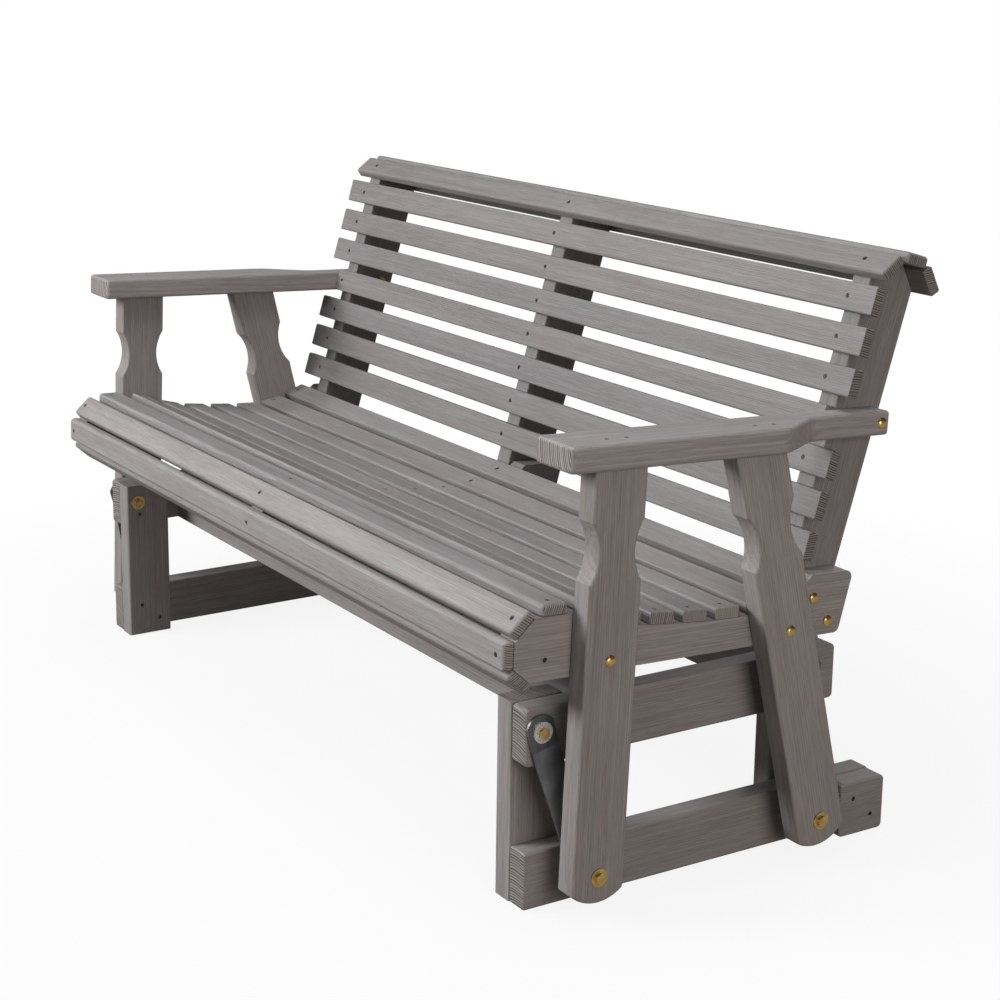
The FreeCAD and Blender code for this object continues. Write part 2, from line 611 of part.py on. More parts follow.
def make_slats():
    low = facet(("nose_face", "nose_low"), NOSE_UNDER)
    high = facet(("nose_face", "nose_high"), NOSE_TOP)
    slat("roll_slat_low", f"{low[0]} + roll_low_slip * cos({low[2]})",
         f"{low[1]} + roll_low_slip * sin({low[2]})", f"{low[2]} + 180", RIB_LINE, rounded=True)
    slat("roll_slat_front", "nose_face", "(nose_low + nose_high) / 2", "90", RIB_LINE, rounded=True)
    slat("roll_slat_high", f"{high[0]} + roll_high_slip * cos({high[2]})",
         f"{high[1]} + roll_high_slip * sin({high[2]})", high[2], RIB_LINE, rounded=True)
    slat("seat_slat_1", "crest_end + (seat_slat_pitch - slat_wide) / 2 - front_slat_gap"
         " - slat_wide / 2", "crest_height", "0", RIB_LINE, rounded=True)
    for number, (start, end) in enumerate(zip(DISH, DISH[1:]), 2):
        a, b, angle = facet(start, end)
        slat(f"seat_slat_{number}", a, b, angle, RIB_LINE)
    for number in range(1, 8):
        height = f"back_slat_top - slat_wide / 2 - {number - 1} * back_slat_pitch"
        a, b = from_back("0", height)
        half = "rib_inner" if number == 4 else "seat_half_length"
        slat(f"back_slat_{number}", a, b, "90 - back_lean", POST_LINE, half)
    run = "(slat_wide / 2 - cap_front_set)"
    front = from_back(f"{run} * cos(cap_front_angle)",
                      f"cap_front_foot + {run} * sin(cap_front_angle)")
    slat("cap_front_board", front[0], front[1], "cap_front_angle - back_lean", POST_LINE,
         rounded=True)
    top = from_back("cap_top_front + slat_wide / 2", "back_post_height")
    slat("cap_top_board", top[0], top[1], "-back_lean", POST_LINE, rounded=True)
    run = "(slat_wide / 2 - cap_rear_set)"
    rear = from_back(f"lumber_wide - {run} * cos(cap_rear_angle)",
                     f"cap_rear_foot + {run} * sin(cap_rear_angle)")
    slat("cap_rear_board", rear[0], rear[1], "-cap_rear_angle - back_lean", POST_LINE)


# Bent flat steel links: the top end lies by the base rail, the low end by the arm post


def round_end(link, tip, pivot, way):
    """Trims a link's end to an arc about its pivot; way is 1 at the top and -1 at the foot."""
    half = f"{way} * link_wide / 2"
    shoulder = f"{pivot} + {way} * sqrt(link_end_radius^2 - link_wide^2 / 4)"
    waste = outline(link, "end", "YZ_Plane", [
        (half, shoulder), (half, tip), (f"-({half})", tip), (f"-({half})", shoulder)],
        {3: ("link_end_radius", False)})
    cut(link, waste, both=True)


def make_links():
    for name, side in SIDES:
        for end, hanger, angle, low_bore in (
                ("front", "hang_front", "front_link_angle", "pivot_radius + pivot_clear"),
                ("rear", "hang_rear", "rear_link_angle", "pivot_radius + open_pivot_clear")):
            link = new_body(f"{name}_{end}_link")
            lean = "link_thick * crank_half_tan"
            start, stop = "-link_end_run", "-(link_length - link_end_run)"
            top, foot = "link_wide", "-(link_length + link_wide)"
            inner = [("link_top_in", top), ("link_top_in", f"{start} - {lean}"),
                     ("link_low_in", f"{stop} - {lean}"), ("link_low_in", foot)]
            outer = [("link_low_in + link_thick", foot), ("link_low_in + link_thick", stop),
                     ("link_top_in + link_thick", start), ("link_top_in + link_thick", top)]
            points = [(a if side > 0 else f"-({a})", b) for a, b in inner + outer]
            pad(link, outline(link, "side", "XZ_Plane", points), "link_wide", centred=True)
            high, low = num(top) - NEAR, num(foot) + NEAR
            ease(link, "link_bend",
                 lambda edge: along(edge, 1) and low < edge.CenterOfMass.z < high)
            round_end(link, top, "0", "1")
            round_end(link, foot, "-link_length", "-1")
            cut(link, circles(link, "pivots", "YZ_Plane",
                              [("0", "0", "pivot_radius + pivot_clear"),
                               ("0", "-link_length", low_bore)]), both=True)
            turn(link, angle)
            spot(link, "0", hanger, "hang_height")


# Fasteners: each is one solid, and like fasteners share a node


def rod(name, radius, length, start):
    """A round bar along X from start."""
    bar = doc.addObject("Part::Cylinder", name)
    bar.setExpression("Radius", bound(radius))
    bar.setExpression("Height", bound(length))
    bar.Placement = Placement(Vector(0, 0, 0), Rotation(Vector(0, 1, 0), 90))
    bar.setExpression(".Placement.Base.x", bound(start))
    return bar


def half_dome(name, face, angle):
    """The low round head of a carriage bolt on a face square to X."""
    dome = doc.addObject("Part::Ellipsoid", name)
    dome.Angle1 = 0
    dome.setExpression("Radius1", "dim.dome_high")
    dome.setExpression("Radius2", "dim.dome_radius")
    dome.setExpression("Radius3", "dim.dome_radius")
    dome.Placement = Placement(Vector(0, 0, 0), Rotation(Vector(0, 1, 0), angle))
    dome.setExpression(".Placement.Base.x", bound(face))
    return dome


def hex_bar(name, flat, length, start):
    bar = doc.addObject("Part::Prism", name)
    bar.Polygon = 6
    bar.setExpression("Circumradius", bound(f"{flat} / sqrt(3)"))
    bar.setExpression("Height", bound(length))
    bar.Placement = Placement(Vector(0, 0, 0), Rotation(Vector(0, 1, 0), 90))
    bar.setExpression(".Placement.Base.x", bound(start))
    return bar


def fuse(name, pieces):
    joined = doc.addObject("Part::MultiFuse", name)
    joined.Shapes = pieces
    joined.Refine = True
    doc.recompute()
    return joined


def ring(name, outer, bore, length, start):
    whole = doc.addObject("Part::Cut", name)
    whole.Base = outer
    whole.Tool = rod(name + "_bore", bore, length, start)
    doc.recompute()
    return whole


def mirrored(side, start, length):
    """Low-X end of a piece that lies from start outwards on either side."""
    return start if side > 0 else f"-({start}) - ({length})"


def group(label, pieces):
    bundle = doc.addObject("Part::Compound", label)
    bundle.Links = pieces
    doc.recompute()
    return node(bundle, label)


HANGERS = (("front", "hang_front"), ("rear", "hang_rear"))
LOW_PIVOTS = (("front", "front_pivot_along", "front_pivot_up"),
              ("rear", "rear_pivot_along", "rear_pivot_up"))


def make_pivot_hardware():
    bolts, rings, nuts = [], [], []
    head_at = "link_top_in + link_thick + link_side_clear + ring_thick"
    for name, side in SIDES:
        for end, hanger in HANGERS:
            tag = f"{name}_{end}_hang"
            nut_at = "leg_inner - washer_thick - hex_high"
            tail = f"{nut_at} - bolt_tail" if end == "front" else "leg_inner + lag_end"
            shank = f"({head_at}) - ({tail})"
            pieces = [fuse(f"{tag}_bolt", [
                hex_bar(f"{tag}_head", "hex_flat", "hex_high", mirrored(side, head_at, "hex_high")),
                rod(f"{tag}_shank", "pivot_radius", shank, mirrored(side, tail, shank))])]
            bolts += pieces
            at = mirrored(side, f"({head_at}) - ring_thick", "ring_thick")
            spacers = [ring(f"{tag}_ring", rod(f"{tag}_ring_body", "ring_radius", "ring_thick", at),
                            PIVOT_BORE, "ring_thick", at)]
            washer_at = ["rail_face"] + (["leg_inner - washer_thick"] if end == "front" else [])
            for i, place in enumerate(washer_at):
                at = mirrored(side, place, "washer_thick")
                body = rod(f"{tag}_washer_{i}_body", "washer_radius", "washer_thick", at)
                spacers.append(ring(f"{tag}_washer_{i}", body, PIVOT_BORE, "washer_thick", at))
            rings += spacers
            pieces += spacers
            if end == "front":
                at = mirrored(side, nut_at, "hex_high")
                nuts.append(ring(f"{tag}_nut", hex_bar(f"{tag}_nut_body", "hex_flat", "hex_high", at),
                                 PIVOT_BORE, "hex_high", at))
                pieces.append(nuts[-1])
            for piece in pieces:
                spot(piece, "0", hanger, "hang_height")
    group("hanger_bolts", bolts)
    group("hanger_washers", rings)
    group("hanger_nuts", nuts)

    bolts, washers, nuts = [], [], []
    face = "seat_half_length + lumber_thick"
    nut_at = "link_low_in - link_side_clear - washer_thick - hex_high"
    for name, side in SIDES:
        for end, pivot_along, pivot_up in LOW_PIVOTS:
            tag = f"{name}_{end}_swing"
            shank = f"{face} + washer_thick - ({nut_at} - bolt_tail)"
            bolt = fuse(f"{tag}_bolt", [
                hex_bar(f"{tag}_head", "hex_flat", "hex_high",
                        mirrored(side, f"{face} + washer_thick", "hex_high")),
                rod(f"{tag}_shank", "pivot_radius", shank,
                    mirrored(side, f"{nut_at} - bolt_tail", shank))])
            bolts.append(bolt)
            at = mirrored(side, face, "washer_thick")
            washers.append(ring(f"{tag}_washer", rod(f"{tag}_washer_body", "washer_radius",
                                                     "washer_thick", at),
                                PIVOT_BORE, "washer_thick", at))
            at = mirrored(side, f"{nut_at} + hex_high", "washer_thick")
            washers.append(ring(f"{tag}_inner_washer",
                                rod(f"{tag}_inner_washer_body", "washer_radius", "washer_thick", at),
                                PIVOT_BORE, "washer_thick", at))
            at = mirrored(side, nut_at, "hex_high")
            nuts.append(ring(f"{tag}_nut", hex_bar(f"{tag}_nut_body", "hex_flat", "hex_high", at),
                             PIVOT_BORE, "hex_high", at))
            for piece in [bolt] + washers[-2:] + nuts[-1:]:
                on_seat(piece, "0", pivot_along, pivot_up)
    group("swing_bolts", bolts)
    group("swing_washers", washers)
    group("swing_nuts", nuts)


def carriage_bolt(tag, low, high, along_seat, up_seat, dome_high_side):
    """Domed bolt through timber from low to high X, its nut on the other end."""
    reach = "washer_thick + small_hex_high + bolt_tail"
    if dome_high_side:
        start, nut_at, washer_at = (f"({low}) - ({reach})",
                                    f"({low}) - washer_thick - small_hex_high",
                                    f"({low}) - washer_thick")
        dome = half_dome(f"{tag}_dome", high, 90)
    else:
        start, nut_at, washer_at = (low, f"({high}) + washer_thick", high)
        dome = half_dome(f"{tag}_dome", low, -90)
    bolt = fuse(f"{tag}_bolt", [dome, rod(f"{tag}_shank", "carriage_radius",
                                          f"({high}) - ({low}) + ({reach})", start)])
    bore = "carriage_radius + pivot_clear"
    washer = ring(f"{tag}_washer", rod(f"{tag}_washer_body", "small_washer_radius",
                                       "washer_thick", washer_at),
                  bore, "washer_thick", washer_at)
    nut = ring(f"{tag}_nut", hex_bar(f"{tag}_nut_body", "small_hex_flat", "small_hex_high", nut_at),
               bore, "small_hex_high", nut_at)
    for piece in (bolt, washer, nut):
        on_seat(piece, "0", along_seat, up_seat)
    return bolt, washer, nut


def make_carriage_bolts():
    sets = []
    for name, side in SIDES:
        for i, (a, b) in enumerate(POST_BOLTS):
            ends = ("rib_inner", "seat_half_length + lumber_thick")
            low, high = ends if side > 0 else (f"-({ends[1]})", f"-({ends[0]})")
            sets.append(carriage_bolt(f"{name}_arm_post_{i}", low, high, a, b, side > 0))
        for i, (a, b) in enumerate(TAIL_BOLTS):
            ends = ("rib_inner - lumber_thick", "seat_half_length")
            low, high = ends if side > 0 else (f"-({ends[1]})", f"-({ends[0]})")
            sets.append(carriage_bolt(f"{name}_tail_{i}", low, high, a, b, side > 0))
        ends = ("rib_inner - lumber_thick", "rib_inner + arm_narrow")
        low, high = ends if side > 0 else (f"-({ends[1]})", f"-({ends[0]})")
        sets.append(carriage_bolt(f"{name}_armrest", low, high, ARM_BOLT[0], ARM_BOLT[1], side > 0))
    for i, (a, b) in enumerate(TAIL_BOLTS):
        sets.append(carriage_bolt(f"centre_tail_{i}", "-lumber_thick * 3 / 2", "lumber_thick / 2",
                                  a, b, True))
    group("carriage_bolts", [s[0] for s in sets])
    group("carriage_washers", [s[1] for s in sets])
    group("carriage_nuts", [s[2] for s in sets])


def screw_shape(length):
    """Countersunk screw along -Z, its flat head at the top, at z = 0."""
    head = Part.makeCylinder(num("screw_head_radius"), num("screw_head_high"),
                             Vector(0, 0, -num("screw_head_high")))
    shank = Part.makeCylinder(num("screw_radius"), num(length), Vector(0, 0, -num(length)))
    wide, deep = num("screw_drive_wide"), num("screw_drive_deep")
    drive = Part.makeBox(wide, wide, deep, Vector(-wide / 2, -wide / 2, -deep))
    return head.fuse(shank).removeSplitter().cut(drive)


def screw_group(label, places):
    """Copies of a screw; each place is a point, the way its head looks and a length."""
    screws = []
    for point, outward, length in places:
        one = screw_shape(length)
        one.Placement = Placement(point, Rotation(Vector(0, 0, 1), outward))
        screws.append(one)
    feature = doc.addObject("Part::Feature", label)
    feature.Shape = Part.makeCompound(screws)
    return node(feature, label)


def make_screws():
    doc.recompute()
    places = []
    flush = [(body, [(text, "0") for text in across], "slat_thick") for body, across in slat_list]
    for name, side in SIDES:
        middle = f"({side}) * (seat_half_length + lumber_thick / 2 - rib_inner)"
        flush.append((doc.getObject(f"{name}_armrest"),
                      [(middle, text) for text in arm_screw_places()], "lumber_thick"))
    for body, spots, thick in flush:
        up = body.Placement.Rotation.multVec(Vector(0, 0, 1))
        for a, b in spots:
            spot_on = Vector(num(a), num(b), num(f"{thick} - screw_sink"))
            length = "arm_screw_length" if thick == "lumber_thick" else "screw_length"
            places.append((body.Placement.multVec(spot_on), up, length))
    for name, side in SIDES:
        rib = doc.getObject(f"{name}_seat_rib")
        local_x = num("lumber_thick - screw_sink") if side > 0 else num("screw_sink")
        point = rib.Placement.multVec(Vector(local_x, num(NOSE_SCREW[0]), num(NOSE_SCREW[1])))
        places.append((point, Vector(side, 0, 0), "nose_screw_length"))
    screw_group("seat_screws", places)
    places = [(Vector(num(a), num(f"origin_shift + {b}"), num(c)), Vector(way, 0, 0),
               "long_screw_length") for a, b, c, way in base_screws]
    screw_group("base_screws", places)


def check_all():
    doc.recompute()
    for obj in doc.Objects:
        if "Invalid" in obj.State or "Error" in obj.State:
            raise RuntimeError(f"{obj.Label}: {obj.State}")
    for obj in nodes:
        if obj.Shape.isNull() or not obj.Shape.isValid() or not obj.Shape.Solids:
            raise RuntimeError(f"{obj.Label}: shape is not valid")


make_base()
make_frames()
make_arm_posts()
make_armrests()
make_slats()
make_links()
make_pivot_hardware()
make_carriage_bolts()
make_screws()
check_all()
doc.removeObject(trial.Name)
os.makedirs("parts", exist_ok=True)
for obj in nodes:
    obj.Shape.exportStep(f"parts/{obj.Label}.step")
print(len(nodes), "nodes written")
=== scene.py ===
import math
import random

import bpy
from mathutils import Matrix, Vector


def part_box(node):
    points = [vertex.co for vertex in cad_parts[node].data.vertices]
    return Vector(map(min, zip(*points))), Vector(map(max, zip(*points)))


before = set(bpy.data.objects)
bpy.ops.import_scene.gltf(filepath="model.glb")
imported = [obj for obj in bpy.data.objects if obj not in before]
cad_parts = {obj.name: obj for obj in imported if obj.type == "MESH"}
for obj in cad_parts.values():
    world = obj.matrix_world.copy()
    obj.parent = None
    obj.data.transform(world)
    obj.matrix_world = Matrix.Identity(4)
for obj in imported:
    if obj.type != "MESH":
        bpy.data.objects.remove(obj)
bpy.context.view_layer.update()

# Porch glider bench of grey-stained pine on zinc-plated links.
# Metres, the front faces -Y, +X is the end nearest the camera.

SEAT_PITCH = math.radians(2.2)
BACK_LEAN = math.radians(14.5)
REAR_POST_LEAN = math.radians(15.9)
ARM_TILT = math.radians(0.54)


# Finishes

class Recipe:
    """Adds nodes to one material and joins them with short calls."""

    def __init__(self, name):
        self.material = bpy.data.materials.new(name)
        self.material.use_nodes = True
        self.tree = self.material.node_tree
        self.shader = next(n for n in self.tree.nodes if n.type == "BSDF_PRINCIPLED")
        self.output = next(n for n in self.tree.nodes if n.type == "OUTPUT_MATERIAL")

    def node(self, kind, **settings):
        made = self.tree.nodes.new(kind)
        for key, value in settings.items():
            setattr(made, key, value)
        return made

    def feed(self, socket, value):
        if isinstance(value, bpy.types.NodeSocket):
            self.tree.links.new(value, socket)
        else:
            socket.default_value = value

    def math(self, operation, first, second=0.0):
        made = self.node("ShaderNodeMath", operation=operation)
        self.feed(made.inputs[0], first)
        self.feed(made.inputs[1], second)
        return made.outputs[0]

    def vector_math(self, operation, first, second=(0, 0, 0)):
        made = self.node("ShaderNodeVectorMath", operation=operation)
        self.feed(made.inputs[0], first)
        self.feed(made.inputs[1], second)
        return made.outputs["Value"] if operation in {"LENGTH", "DOT_PRODUCT"} else made.outputs[0]

    def ramp(self, value, low, high, to_low=0.0, to_high=1.0):
        """Eases from to_low to to_high as the value goes from low to high."""
        made = self.node("ShaderNodeMapRange", interpolation_type="SMOOTHSTEP", clamp=True)
        for socket, number in zip(made.inputs[1:5], (low, high, to_low, to_high)):
            self.feed(socket, number)
        self.feed(made.inputs[0], value)
        return made.outputs[0]

    def noise(self, vector, scale, detail=3.0, rough=0.55):
        made = self.node("ShaderNodeTexNoise")
        self.feed(made.inputs["Vector"], vector)
        self.feed(made.inputs["Scale"], scale)
        self.feed(made.inputs["Detail"], detail)
        self.feed(made.inputs["Roughness"], rough)
        return made

    def mix(self, factor, first, second):
        made = self.node("ShaderNodeMix", data_type="RGBA")
        self.feed(made.inputs[0], factor)
        self.feed(made.inputs[6], first)
        self.feed(made.inputs[7], second)
        return made.outputs[2]

    def place(self, vector, location=(0, 0, 0), rotation=(0, 0, 0)):
        made = self.node("ShaderNodeMapping")
        self.feed(made.inputs["Vector"], vector)
        self.feed(made.inputs["Location"], location)
        self.feed(made.inputs["Rotation"], rotation)
        return made.outputs[0]

    def bump(self, height, strength, distance):
        made = self.node("ShaderNodeBump")
        self.feed(made.inputs["Height"], height)
        self.feed(made.inputs["Strength"], strength)
        self.feed(made.inputs["Distance"], distance)
        return made.outputs[0]

    def first_channel(self, colour):
        made = self.node("ShaderNodeSeparateColor")
        self.feed(made.inputs[0], colour)
        return made.outputs[0]

    def coordinates(self):
        made = self.node("ShaderNodeTexCoord")
        return made.outputs["Object"], made.outputs["Normal"]

    def finished(self, colour, roughness, relief, metallic=0.0):
        inputs = self.shader.inputs
        self.feed(inputs["Base Color"], colour)
        self.feed(inputs["Roughness"], roughness)
        self.feed(inputs["Normal"], relief)
        self.feed(inputs["Metallic"], metallic)
        return self.material


# How boards are cut from the log: the ring direction's sway in radians, the nearest and
# furthest distance from the pith line and the gap between rings, in metres
SLIM_CUT = (0.42, 0.16, 0.34, 0.0034)
THICK_CUT = (0.5, 0.065, 0.12, 0.0042)
RING_WANDER = 0.022
STAIN_LEVEL = 0.262
BOLD_ENDS, FAINT_ENDS = 0.92, 0.3


def stained_pine(name, grain, broad, centre, seed, bold=BOLD_ENDS, stain_and_light=1.0, slim=False):
    """Grey-stained pine. grain is the board's long direction in the bench's frame and
    broad is where its broad face looks. The growth rings run round a pith line that lies off
    to one side of the board's width, so faces show lengthwise grain and ends show arcs that
    cross the thickness; a slim board is cut from further out, where the arcs are flat."""
    pick = random.Random(seed)
    r = Recipe(name)
    place, normal = r.coordinates()
    grain, broad = Vector(grain).normalized(), Vector(broad).normalized()
    across = grain.cross(broad)
    sway, nearest, furthest, ring_gap = SLIM_CUT if slim else THICK_CUT
    swing = math.pi / 2 + pick.uniform(-sway, sway)
    beside = pick.uniform(nearest, furthest)
    to_pith = (math.cos(swing) * broad + math.sin(swing) * across) * pick.choice((-1, 1))
    third = grain.cross(to_pith)
    spin = Matrix((grain, to_pith, third))
    angles = spin.to_euler("XYZ")
    moved = spin @ Vector(centre)
    start = (pick.uniform(-3, 3), beside - moved.y, -moved.z)
    along = r.place(place, location=start, rotation=angles)
    # slow wander of the rings along the board, and their uneven spacing
    wander = r.noise(r.vector_math("MULTIPLY", along, (1.3, 5.0, 5.0)), 1.0, 2.0)
    centred = r.vector_math("SUBTRACT", wander.outputs["Color"], (0.5, 0.5, 0.5))
    shift = r.vector_math("MULTIPLY", centred, (0.0, RING_WANDER, RING_WANDER))
    round_pith = r.vector_math("MULTIPLY", r.vector_math("ADD", along, shift), (0.0, 1.0, 1.0))
    radius = r.vector_math("LENGTH", round_pith)
    uneven = r.noise(r.math("MULTIPLY", radius, 90.0), 1.0, 2.0).outputs["Fac"]
    rings = r.math("ADD", r.math("DIVIDE", radius, ring_gap), r.math("MULTIPLY", uneven, 1.6))
    phase = r.math("FRACT", rings)
    late = r.math("MULTIPLY", r.ramp(phase, 0.1, 0.85), r.ramp(phase, 1.0, 0.88))
    faded = r.noise(r.vector_math("MULTIPLY", along, (3.0, 24, 24)), 1.0, 2.0).outputs["Fac"]
    late = r.math("MULTIPLY", late, r.ramp(faded, 0.3, 0.68, 0.35, 1.0))
    # the same rings cut across: bold dark lines between wide pale ones
    line = r.math("MULTIPLY", r.ramp(phase, 0.40, 0.62), r.ramp(phase, 1.0, 0.93))
    # fibres, wiped stain, pale streaks, tinted patches and fine pores
    fibre = r.noise(r.vector_math("MULTIPLY", along, (22, 640, 640)), 1.0, 4.0, 0.72).outputs["Fac"]
    coarse = r.noise(r.vector_math("MULTIPLY", along, (2.6, 120, 120)), 1.0, 4.0, 0.6).outputs["Fac"]
    streak = r.noise(r.vector_math("MULTIPLY", along, (1.6, 210, 210)), 1.0, 2.0).outputs["Fac"]
    blotch = r.noise(r.vector_math("MULTIPLY", along, (5, 26, 26)), 1.0, 4.0, 0.6).outputs["Fac"]
    tint = r.noise(r.vector_math("MULTIPLY", r.place(along, location=(0.7, 0.2, 0.4)), (7, 46, 46)),
                   1.0, 3.0, 0.6).outputs["Fac"]
    pore = r.noise(along, 900.0, 2.0).outputs["Fac"]
    end = r.ramp(r.math("ABSOLUTE", r.vector_math("DOT_PRODUCT", normal, tuple(grain))), 0.75, 0.97)
    # tones
    # the per-kind factor carries painted light and shade as well as the stain's depth
    level = STAIN_LEVEL * stain_and_light * pick.uniform(0.93, 1.07)
    warm = pick.uniform(-0.016, 0.012)

    def shade(red, green, blue):
        return (level * (red + warm), level * green, level * (blue - warm), 1)

    body = r.mix(r.ramp(coarse, 0.3, 0.7), shade(0.985, 0.905, 0.885), shade(1.14, 1.075, 1.06))
    body = r.mix(r.ramp(blotch, 0.4, 0.72, 0.0, 0.5), body, shade(0.88, 0.785, 0.755))
    body = r.mix(r.ramp(tint, 0.54, 0.7, 0.0, 0.5), body, shade(1.06, 0.90, 0.88))
    body = r.mix(r.ramp(tint, 0.46, 0.3, 0.0, 0.5), body, shade(0.92, 0.945, 0.965))
    body = r.mix(r.math("MULTIPLY", late, 0.44), body, shade(0.58, 0.50, 0.475))
    body = r.mix(r.ramp(fibre, 0.51, 0.72, 0.0, 0.55), body, shade(0.50, 0.435, 0.41))
    body = r.mix(r.ramp(fibre, 0.49, 0.27, 0.0, 0.5), body, shade(1.55, 1.46, 1.43))
    body = r.mix(r.ramp(streak, 0.58, 0.74, 0.0, 0.34), body, shade(1.42, 1.34, 1.31))
    body = r.mix(r.ramp(streak, 0.42, 0.28, 0.0, 0.32), body, shade(0.58, 0.51, 0.485))
    cut_end = r.mix(r.math("MULTIPLY", line, bold), shade(1.22, 1.09, 1.03), shade(0.24, 0.20, 0.185))
    cut_end = r.mix(r.ramp(pore, 0.45, 0.75, 0.0, 0.4), cut_end, shade(0.5, 0.44, 0.41))
    colour = r.mix(end, body, cut_end)
    # now and then a small knot with its dark rim
    knot = r.node("ShaderNodeTexVoronoi", feature="F1", distance="EUCLIDEAN")
    r.feed(knot.inputs["Vector"], r.vector_math("MULTIPLY", along, (2.6, 9, 9)))
    r.feed(knot.inputs["Scale"], 1.0)
    chance = r.math("GREATER_THAN", r.first_channel(knot.outputs["Color"]), 0.86)
    spot_at = r.math("MULTIPLY", r.ramp(knot.outputs["Distance"], 0.075, 0.04), chance)
    spot_at = r.math("MULTIPLY", spot_at, r.math("SUBTRACT", 1.0, end))
    colour = r.mix(r.math("MULTIPLY", spot_at, 0.6), colour, shade(0.48, 0.39, 0.34))
    r.feed(r.shader.inputs["Specular IOR Level"], 0.35)
    raised = r.math("ADD", r.math("MULTIPLY", late, 0.4), r.math("MULTIPLY", fibre, 0.7))
    rough = r.ramp(r.math("ADD", late, fibre), 0.2, 1.3, 0.66, 0.5)
    return r.finished(colour, rough, r.bump(raised, 0.6, 0.0006))


def plated_strap(name):
    """Flat bar with a dull zinc coat: soft lengthwise mill lines and small dull patches."""
    r = Recipe(name)
    place, _ = r.coordinates()
    lines = r.noise(r.vector_math("MULTIPLY", place, (60, 900, 18)), 1.0, 3.0).outputs["Fac"]
    patch = r.noise(place, 38.0, 4.0, 0.6).outputs["Fac"]
    tone = r.mix(r.ramp(patch, 0.35, 0.7), (0.19, 0.205, 0.22, 1), (0.25, 0.265, 0.27, 1))
    tone = r.mix(r.ramp(lines, 0.4, 0.7, 0.0, 0.35), tone, (0.15, 0.165, 0.17, 1))
    rough = r.ramp(patch, 0.3, 0.75, 0.34, 0.42)
    return r.finished(tone, rough, r.bump(lines, 0.12, 0.0003), 1.0)


def speckled(name, scale, dark, light, metallic, smoothest, roughest, relief):
    """Metal with small patches between two tones."""
    r = Recipe(name)
    place, _ = r.coordinates()
    patch = r.noise(place, scale, 3.0, 0.6).outputs["Fac"]
    tone = r.mix(r.ramp(patch, 0.35, 0.7), dark, light)
    rough = r.ramp(patch, 0.3, 0.7, smoothest, roughest)
    return r.finished(tone, rough, r.bump(patch, relief, 0.0002), metallic)


def yellow_zinc(name, bronze_and_shade=0.0):
    """Yellow passivated plating, gold with faint green and rose patches; its upward faces are
    darkened to brown as painted shade.
    """
    r = Recipe(name)
    place, normal = r.coordinates()
    patch = r.noise(place, 130.0, 3.0, 0.6).outputs["Fac"]
    hue = r.noise(r.place(place, location=(0.3, 0.1, 0.7)), 55.0, 2.0).outputs["Fac"]
    tone = r.mix(r.ramp(patch, 0.3, 0.7), (0.58, 0.38, 0.11, 1), (0.80, 0.60, 0.25, 1))
    tone = r.mix(r.ramp(hue, 0.52, 0.75, 0.0, 0.55), tone, (0.50, 0.47, 0.15, 1))
    tone = r.mix(r.ramp(hue, 0.46, 0.28, 0.0, 0.6), tone, (0.78, 0.36, 0.17, 1))
    # painted shade: faces that look upward are darkened towards brown
    painted_top_shade = r.vector_math("DOT_PRODUCT", normal, (0.0, 0.0, 1.0))
    tone = r.mix(r.ramp(painted_top_shade, 0.1, 0.5, 0.0, 0.82), tone, (0.10, 0.062, 0.020, 1))
    # darkens towards brown: partly the part's own bronze tone, partly painted shade
    tone = r.mix(bronze_and_shade, tone, (0.16, 0.105, 0.045, 1))
    return r.finished(tone, r.ramp(patch, 0.3, 0.75, 0.14, 0.3), r.bump(patch, 0.1, 0.0002), 0.62)


# Each board's grain direction by the kind of board

def lean(angle):
    """The way up of a board that leans back by an angle, in the bench's frame."""
    return (0.0, math.sin(angle), math.cos(angle))


def level_back(angle):
    """The way back of a level board that is tipped back by an angle."""
    return (0.0, math.cos(angle), -math.sin(angle))


def grain_of(node):
    if "slat" in node or "board" in node or "beam" in node:
        return (1.0, 0.0, 0.0)
    if "leg" in node:
        return (0.0, 0.0, 1.0)
    if "back_post" in node:
        return lean(BACK_LEAN + SEAT_PITCH)
    if "front_arm_post" in node:
        return lean(SEAT_PITCH)
    if "rear_arm_post" in node:
        return lean(SEAT_PITCH - REAR_POST_LEAN)
    if "armrest" in node:
        return level_back(SEAT_PITCH + ARM_TILT)
    if "rib" in node:
        return level_back(SEAT_PITCH)
    return (0.0, 1.0, 0.0)


def broad_side(thing):
    """Where the broadest flat face of a board looks, from its own faces."""
    sums = {}
    for face in thing.data.polygons:
        outward = face.normal if face.normal[:] > (0, 0, 0) else -face.normal
        way = tuple(round(v, 2) for v in outward)
        sums[way] = sums.get(way, 0.0) + face.area
    return max(sums, key=sums.get)


# How much lighter or darker than the rest each kind of board is made: partly how it took the stain,
# partly painted light and shade, such as the back posts darkened where the back slats shade them and
# the arm posts and armrests lightened
STAIN_AND_PAINTED_LIGHT = (("back_slat", 0.78), ("cap", 0.80), ("back_post", 0.82), ("seat_slat", 0.93),
         ("armrest", 1.08), ("arm_post", 1.06), ("rib", 1.04))


def stain_and_light_of(node):
    return next((lightness for word, lightness in STAIN_AND_PAINTED_LIGHT if word in node), 1.0)


# Slats whose cut ends show the stain more than the rings
QUIET_ENDS = ("seat_slat_5", "seat_slat_6", "seat_slat_7", "seat_slat_8")

# The washers on the inner faces of the legs lie within this distance of the middle
LEG_WASHERS_WITHIN = 0.70
# How far the nuts are darkened: partly their own darker bronze tone, partly painted shade where the
# nuts sit in shadow
NUT_BRONZE_AND_SHADE = 0.62

